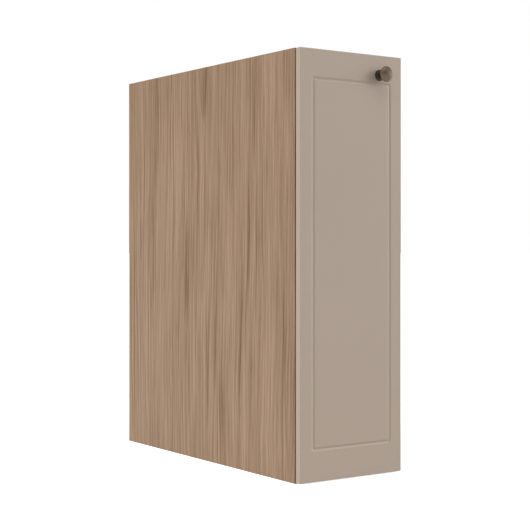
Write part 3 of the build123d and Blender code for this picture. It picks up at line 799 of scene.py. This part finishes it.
rose_back = rose_high.y
rose_steps = [
    (rose_back, rose_radius - 0.0004),
    (rose_back - 0.0003, rose_radius),
    (rose_back - 0.0016, rose_radius),
    (rose_back - 0.0020, rose_radius - 0.0002),
    (rose_back - 0.0023, rose_radius - 0.0009),
    (rose_back - 0.0026, rose_radius - 0.0011),
    (rose_back - 0.0035, rose_radius - 0.0014),
    (rose_back - 0.0041, rose_radius - 0.0022),
    (rose_back - 0.0044, rose_radius - 0.0032),
    (rose_low.y, 0.0046),
]
rose = turned(flowing(rose_steps, 4), knob_x, knob_z)
rose.data.materials.append(antique_bronze("antique_bronze_rose", rose_radius, rose_low.y - 0.004))
keep(rose, "turned_rose", "door", "aged_bronze", "knob_rose")


# ---- hinges --------------------------------------------------------------------------
# Two concealed hinges of pressed, nickel-plated steel. The cups are pushed into the door
# and screwed by their ears; the arms are clamped on plates screwed to the left side.
def plated(name, bright, dull, base_roughness, grain):
    """Plated steel with fine handling marks; `grain` is how close the marks lie."""

    def paint(graph):
        place = graph.node("ShaderNodeTexCoord", None, None, output="Object")
        marks = graph.noise(place, 4.0, 0.7, scale=grain)
        blush = graph.noise(place, 2.0, 0.5, scale=grain * 0.12)
        paint.marks = marks
        paint.blush = blush
        return graph.mixed((blush * 0.8 + marks * 0.3 - 0.05).held(), bright, dull)

    return material(
        name,
        paint,
        lambda graph: base_roughness + (paint.marks - 0.5) * 0.16 + (paint.blush - 0.5) * 0.1,
        Metallic=1.0,
        Normal=lambda graph: graph.bump(paint.marks, 0.12, 0.00005),
    )


nickel = plated("nickel_plate", (0.72, 0.70, 0.66, 1.0), (0.56, 0.54, 0.50, 1.0), 0.26, 700.0)
for level in ("lower", "upper"):
    for part, body, ease in (
        ("_hinge_arm", "carcass", 0.00025),
        ("_mounting_plate", "carcass", 0.00025),
        ("_hinge_cup", "door", 0.00012),
        ("_hinge_pin", "door", 0.00015),
    ):
        metal = worked_copy(level + part, (nickel,), ease=ease)
        keep(metal, level + part + "_steel", body, "nickel_steel", level + part)


# ---- screws and cam locks ------------------------------------------------------------
# Every screw has a domed or flat head with a cross recess and a ribbed shank. The cam
# locks are wide short ones, flush in the top's upper face and the bottom's underside.
def open_tree(name, sizes):
    """A geometry tree with named sizes, a seed and a finish: its graph and its group input."""
    tree = bpy.data.node_groups.new(name, "GeometryNodeTree")
    graph = Graph(tree)
    tree.interface.new_socket("Geometry", in_out="INPUT", socket_type="NodeSocketGeometry")
    for label in sizes:
        tree.interface.new_socket(label, in_out="INPUT", socket_type="NodeSocketFloat")
    tree.interface.new_socket("Seed", in_out="INPUT", socket_type="NodeSocketInt")
    tree.interface.new_socket("Finish", in_out="INPUT", socket_type="NodeSocketMaterial")
    tree.interface.new_socket("Geometry", in_out="OUTPUT", socket_type="NodeSocketGeometry")
    return graph, graph.node("NodeGroupInput")


def placed_copies(graph, seats, shape, turn_seed):
    """Stands a shape on every seat along its aim, each turned at random about itself."""
    vectors = {"data_type": "FLOAT_VECTOR"}
    aim = graph.node("GeometryNodeInputNamedAttribute", vectors, {"Name": "aim"})
    stand = graph.node("FunctionNodeAlignRotationToVector", {"axis": "Z"}, {"Vector": aim})
    standing = {"Points": seats, "Instance": shape, "Rotation": stand}
    copies = graph.node("GeometryNodeInstanceOnPoints", None, standing)
    any_turn = {"Min": 0.0, "Max": 2 * math.pi, "Seed": turn_seed}
    turn = graph.node("FunctionNodeRandomValue", {"data_type": "FLOAT"}, any_turn, output=1)
    turning = {"Instances": copies, "Rotation": graph.vector(0.0, 0.0, turn), "Local Space": True}
    return graph.node("GeometryNodeRotateInstances", None, turning)


def close_tree(graph, shape, finish):
    """Ends a tree: real geometry, smooth up to edges that turn over 35 degrees, and its finish."""
    real = graph.node("GeometryNodeRealizeInstances", None, {"Geometry": shape})
    smooth = graph.node("GeometryNodeSetShadeSmooth", {"domain": "FACE"}, {"Geometry": real})
    turn = graph.node("GeometryNodeInputMeshEdgeAngle")
    greater = {"data_type": "FLOAT", "operation": "GREATER_THAN"}
    sharp = graph.node("FunctionNodeCompare", greater, {0: turn, 1: math.radians(35.0)})
    creases = {"Geometry": smooth, "Selection": sharp, "Shade Smooth": False}
    creased = graph.node("GeometryNodeSetShadeSmooth", {"domain": "EDGE"}, creases)
    coated = graph.node("GeometryNodeSetMaterial", None, {"Geometry": creased, "Material": finish})
    graph.node("NodeGroupOutput", None, {"Geometry": coated})


def shaped_bar(graph, sides, levels, reshape):
    """A round bar from z 0 to 1 whose points go where reshape(x, y, z) says."""
    unit = {"Side Segments": levels, "Fill Segments": 1, "Radius": 1.0, "Depth": 1.0}
    fan = {"fill_type": "TRIANGLE_FAN"}
    bar = graph.node("GeometryNodeMeshCylinder", fan, {"Vertices": sides, **unit})
    place = graph.node("ShaderNodeSeparateXYZ", None, {0: graph.node("GeometryNodeInputPosition")})
    x, y, z = reshape(place, place.other(1), place.other(2) + 0.5)
    moved = {"Geometry": bar, "Position": graph.vector(x, y, z)}
    return graph.node("GeometryNodeSetPosition", None, moved)


screw_sizes = (
    "Head Radius", "Head Height", "Squareness", "Shank Radius", "Shank Length",
    "Thread Pitch", "Recess Length", "Recess Width", "Recess Depth",
)
screws, screw = open_tree("cross_head_screws", screw_sizes)
head_height = screw.other("Head Height")
squareness = screw.other("Squareness")
recess_depth = screw.other("Recess Depth")


def domed(x, y, z):
    """A head: a dome, or nearly a flat-topped disc where the squareness is high."""
    round_off = (1.0 - (z * 0.985) ** squareness) ** (1.0 / squareness) * screw.other("Head Radius")
    return x * round_off, y * round_off, z * head_height


def ribbed(x, y, z):
    """A shank with rings for a thread and a blunt point, standing a little into the head."""
    length = screw.other("Shank Length")
    along = z * length
    rib = screws.math("PINGPONG", along / screw.other("Thread Pitch"), 1.0)
    point = (along / (screw.other("Shank Radius") * 1.6)).held()
    thick = screw.other("Shank Radius") * (0.74 + rib * 0.26) * (0.25 + point * 0.75)
    return x * thick, y * thick, along - length + 0.0002


head_and_shank = [shaped_bar(screws, 40, 9, domed), shaped_bar(screws, 16, 48, ribbed)]
union = {"operation": "UNION", "solver": "EXACT"}
whole_screw = screws.node("GeometryNodeMeshBoolean", union, {"Mesh 2": head_and_shank})
recess_spans = (screw.other("Recess Length"), screw.other("Recess Width"))
cross = []
for span_x, span_y in (recess_spans, recess_spans[::-1]):
    block = screws.vector(span_x, span_y, recess_depth * 2.0)
    bar = screws.node("GeometryNodeMeshCube", None, {"Size": block})
    raised = {"Geometry": bar, "Translation": screws.vector(0.0, 0.0, head_height)}
    cross.append(screws.node("GeometryNodeTransform", None, raised))
difference = {"operation": "DIFFERENCE", "solver": "EXACT"}
cutting = {"Mesh 1": whole_screw, "Mesh 2": cross}
cut_screw = screws.node("GeometryNodeMeshBoolean", difference, cutting)
close_tree(screws, placed_copies(screws, screw, cut_screw, screw.other("Seed")), screw.other("Finish"))


def seated(tree, name, seats, values, body, slot, node):
    """Runs a tree on (place, aim) seats and keeps the plain mesh it makes."""
    mesh = bpy.data.meshes.new(name + "_seats")
    mesh.from_pydata([place for place, aim in seats], [], [])
    aims = mesh.attributes.new("aim", "FLOAT_VECTOR", "POINT")
    for index, (place, aim) in enumerate(seats):
        aims.data[index].vector = aim
    piece = piece_of(mesh, name)
    maker = piece.modifiers.new("maker", "NODES")
    maker.node_group = tree
    for item in tree.interface.items_tree:
        if item.in_out == "INPUT" and item.name in values:
            maker[item.identifier] = values[item.name]
    settled(piece)
    return keep(piece, name, body, slot, node)


def screw_values(
    head_radius, height, square, shank_radius, shank_length, finish, seed,
    recess=(1.15, 0.24), depth=0.0010,
):
    """One kind of screw; `recess` is its cross's length and width in head radii."""
    thread_pitch = 0.0007
    values = (
        head_radius, height, square, shank_radius, shank_length,
        thread_pitch, head_radius * recess[0], head_radius * recess[1], depth,
    )
    return {**dict(zip(screw_sizes, values)), "Seed": seed, "Finish": finish}


zinc = plated("bright_zinc", (0.66, 0.67, 0.68, 1.0), (0.50, 0.50, 0.49, 1.0), 0.34, 900.0)
hinge_levels = []
for level in ("lower", "upper"):
    pin_low, pin_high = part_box(level + "_hinge_pin")
    hinge_levels.append(((pin_low + pin_high) / 2).z)

low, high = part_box("hinge_cup_screws")
ear_head = 0.0032
ear_height = 0.0015
ear_spread = hinge_levels[0] - low.z - ear_head
ear_seat = Vector((low.x + ear_head, high.y - ear_height, 0.0))
ear_seats = [
    (ear_seat + Vector((0, 0, level + way * ear_spread)), (0, 1, 0))
    for level in hinge_levels
    for way in (-1, 1)
]
ear_screw = screw_values(ear_head, ear_height, 2.6, 0.00175, 0.0094, nickel, 3)
seated(
    screws.tree, "hinge_cup_screw_set", ear_seats, ear_screw,
    "door", "nickel_steel", "hinge_cup_screws",
)

low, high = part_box("mounting_plate_screws")
plate_head = 0.0040
plate_height = 0.0018
plate_x = high.x - plate_height
plate_spread = hinge_levels[0] - low.z - plate_head
plate_seats = [
    ((plate_x, (low.y + high.y) / 2, level + way * plate_spread), (1, 0, 0))
    for level in hinge_levels
    for way in (-1, 1)
]
plate_screw = screw_values(plate_head, plate_height, 2.4, 0.0020, plate_x - low.x, zinc, 5)
seated(
    screws.tree, "mounting_plate_screw_set", plate_seats, plate_screw,
    "carcass", "zinc_steel", "mounting_plate_screws",
)

for node, name, height, square, depth, seed in (
    ("hinge_clamp_screws", "hinge_clamp_screw_set", 0.0020, 3.0, 0.0011, 8),
    ("hinge_adjusting_screws", "hinge_adjusting_screw_set", 0.0012, 5.0, 0.0008, 9),
):
    low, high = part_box(node)
    radius = (high.y - low.y) / 2
    seat_x = high.x - height
    seats = [((seat_x, (low.y + high.y) / 2, level), (1, 0, 0)) for level in hinge_levels]
    values = screw_values(
        radius, height, square, radius * 0.55, seat_x - low.x, nickel, seed, depth=depth
    )
    seated(screws.tree, name, seats, values, "carcass", "nickel_steel", node)

low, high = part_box("catch_screws")
radius = (high.y - low.y) / 2
catch_height = 0.0016
catch_x = low.x + catch_height
catch_seats = [
    ((catch_x, (low.y + high.y) / 2, z), (-1, 0, 0)) for z in (low.z + radius, high.z - radius)
]
catch_screw = screw_values(radius, catch_height, 2.4, radius * 0.55, high.x - catch_x, zinc, 11)
seated(
    screws.tree, "catch_screw_set", catch_seats, catch_screw,
    "carcass", "zinc_steel", "catch_screws",
)

for node, name, height, square, depth in (
    ("strike_screw", "strike_countersunk_screw", 0.0009, 9.0, 0.00072),
    ("knob_screw", "knob_machine_screw", 0.0022, 2.6, 0.0012),
):
    low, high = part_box(node)
    radius = (high.x - low.x) / 2
    seat_y = high.y - height
    seats = [(((low.x + high.x) / 2, seat_y, (low.z + high.z) / 2), (0, 1, 0))]
    values = screw_values(
        radius, height, square, radius * 0.5, seat_y - low.y, zinc, 13, depth=depth
    )
    seated(screws.tree, name, seats, values, "door", "zinc_steel", node)

low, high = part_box("cam_locks")
cam_radius = 0.0060
cam_height = 0.0095
cam_seats = [
    ((x, y, foot_z), (0, 0, way))
    for foot_z, way in ((high.z - cam_height, 1), (low.z + cam_height, -1))
    for x in (low.x + cam_radius, high.x - cam_radius)
    for y in (low.y + cam_radius, high.y - cam_radius)
]
cam_lock = screw_values(
    cam_radius, cam_height, 18.0, cam_radius * 0.5, 0.0004, zinc, 17,
    recess=(1.05, 0.19), depth=0.0028,
)
seated(screws.tree, "cam_lock_set", cam_seats, cam_lock, "carcass", "zinc_steel", "cam_locks")


# ---- dowels and shelf pins -----------------------------------------------------------
# Fluted beech dowels line up the corners, and white plastic pins carry the shelves.
# Both are turned bars with broken ends, pushed into bores in the boards.
pins, pin = open_tree("turned_pins", ("Radius", "Length", "End Bevel", "Flutes", "Flute Depth"))


def fluted(x, y, z):
    """A pin with broken ends and, where it has any, flutes cut along it."""
    length = pin.other("Length")
    bevel = pin.other("End Bevel")
    along = z * length
    from_end = pins.math("MINIMUM", along, length - along)
    broken = (1.0 - (from_end / bevel).held()) * bevel * 0.6
    around = pins.math("ARCTAN2", y, x)
    groove = pins.math("COSINE", around * pin.other("Flutes")).above(0.2, 0.9)
    thick = pin.other("Radius") - broken - groove * pin.other("Flute Depth")
    return x * thick, y * thick, along


whole_pin = shaped_bar(pins, 96, 24, fluted)
close_tree(pins, placed_copies(pins, pin, whole_pin, pin.other("Seed")), pin.other("Finish"))


def beech_wood(graph):
    axes = object_axes(graph)
    drawn_out = graph.vector(axes["x"] * 90.0, axes["y"] * 900.0, axes["z"] * 900.0)
    grain = graph.noise(drawn_out, 3.0, 0.6)
    return graph.mixed(grain, (0.60, 0.42, 0.26, 1.0), (0.40, 0.25, 0.14, 1.0))


beech = material("beech_dowel_wood", beech_wood, 0.7, Specular_IOR_Level=0.3)
low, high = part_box("dowels")
rail_low, rail_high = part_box("rear_rail")
dowel_radius = 0.0030
dowel_rear_y = 0.138
dowel_points = [
    (y, z)
    for y in (low.y + dowel_radius, dowel_rear_y)
    for z in (low.z + dowel_radius, high.z - dowel_radius)
]
for share in (0.25, 0.75):
    rail_z = rail_low.z + share * (rail_high.z - rail_low.z)
    dowel_points.append((high.y - dowel_radius, rail_z))
dowel_seats = [
    ((side * high.x, y, z), (-side, 0, 0)) for side in (-1, 1) for y, z in dowel_points
]
dowel = {
    "Radius": dowel_radius,
    "Length": 0.028,
    "End Bevel": 0.0012,
    "Flutes": 12.0,
    "Flute Depth": 0.00028,
    "Seed": 21,
    "Finish": beech,
}
seated(pins.tree, "fluted_dowel_set", dowel_seats, dowel, "carcass", "beech", "dowels")


def moulded(name, colour, dark, base_roughness, grain=900.0, **others):
    """A moulded material with the fine grain of its mould."""

    def paint(graph):
        place = graph.node("ShaderNodeTexCoord", None, None, output="Object")
        paint.grain = graph.noise(place, 2.0, 0.6, scale=grain)
        return graph.mixed((paint.grain * 0.8).held(), colour, dark)

    return material(
        name,
        paint,
        lambda graph: base_roughness + (paint.grain - 0.5) * 0.12,
        Normal=lambda graph: graph.bump(paint.grain, 0.15, 0.00006),
        **others,
    )


plastic_white = (0.80, 0.79, 0.76, 1.0)
white_plastic = moulded("white_moulding", plastic_white, (0.71, 0.70, 0.66, 1.0), 0.38)
low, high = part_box("shelf_pins")
pin_radius = 0.0025
pin_seats = [
    ((side * high.x, y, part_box(shelf)[0].z - pin_radius), (-side, 0, 0))
    for side in (-1, 1)
    for y in (low.y + pin_radius, high.y - pin_radius)
    for shelf in ("lower_shelf", "upper_shelf")
]
shelf_pin = {
    "Radius": pin_radius,
    "Length": 0.016,
    "End Bevel": 0.0007,
    "Flutes": 0.0,
    "Flute Depth": 0.0,
    "Seed": 23,
    "Finish": white_plastic,
}
seated(
    pins.tree, "shelf_pin_set", pin_seats, shelf_pin,
    "carcass", "white_plastic", "shelf_pins",
)


# ---- cam bolts -----------------------------------------------------------------------
# Turned zinc-plated bolts screwed into the side panels, whose necks the cams draw in.
# They lie wholly inside the boards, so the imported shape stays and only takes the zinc.
for slot_place in frame["nodes"]["cam_bolts"].material_slots:
    slot_place.material = zinc


# ---- magnetic catch ------------------------------------------------------------------
# A white moulded housing screwed to the right side holds a ferrite magnet between two
# steel pole plates. They meet a strike plate screwed to the back of the door.
housing = worked_copy("catch_housing", (white_plastic,), ease=0.0004, segments=3)
keep(housing, "catch_moulding", "carcass", "white_plastic", "catch_housing")
ferrite_grey = (0.055, 0.053, 0.052, 1.0)
ferrite = moulded("sintered_ferrite", ferrite_grey, (0.030, 0.029, 0.029, 1.0), 0.62, 1300.0)
magnet = worked_copy("catch_magnet", (ferrite,), ease=0.0003)
keep(magnet, "catch_magnet_block", "carcass", "ferrite", "catch_magnet")
poles = worked_copy("catch_pole_plates", (zinc,), ease=0.00015)
keep(poles, "catch_pole_pair", "carcass", "zinc_steel", "catch_pole_plates")
strike = worked_copy("strike_plate", (zinc,), ease=0.0002)
keep(strike, "strike_plate_steel", "door", "zinc_steel", "strike_plate")


# ---- door bumpers --------------------------------------------------------------------
# Two clear, soft domes stuck near the corners of the door's free edge quieten its
# closing against the right side.
clear_rubber = moulded(
    "clear_soft_bumper", (0.78, 0.79, 0.78, 1.0), (0.70, 0.71, 0.70, 1.0), 0.22, 400.0,
    Transmission_Weight=0.55, IOR=1.47,
)
low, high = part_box("door_bumpers")
bumper_radius = (high.x - low.x) / 2
bumper_x = (low.x + high.x) / 2
thick = high.y - low.y
dome = [
    (low.y, bumper_radius),
    (low.y + thick * 0.25, bumper_radius),
    (low.y + thick * 0.55, bumper_radius * 0.93),
    (low.y + thick * 0.85, bumper_radius * 0.72),
    (high.y, bumper_radius * 0.30),
]
both = bmesh.new()
for z in (low.z + bumper_radius, high.z - bumper_radius):
    pad = turned(flowing(dome, 4), bumper_x, z, 48)
    both.from_mesh(pad.data)
    bpy.data.objects.remove(pad, do_unlink=True)
pad_mesh = bpy.data.meshes.new("bumper_pads")
both.to_mesh(pad_mesh)
both.free()
pad_mesh.shade_smooth()
pad_mesh.materials.append(clear_rubber)
keep(piece_of(pad_mesh, "bumper_pads"), "bumper_pads", "door", "clear_bumper", "door_bumpers")
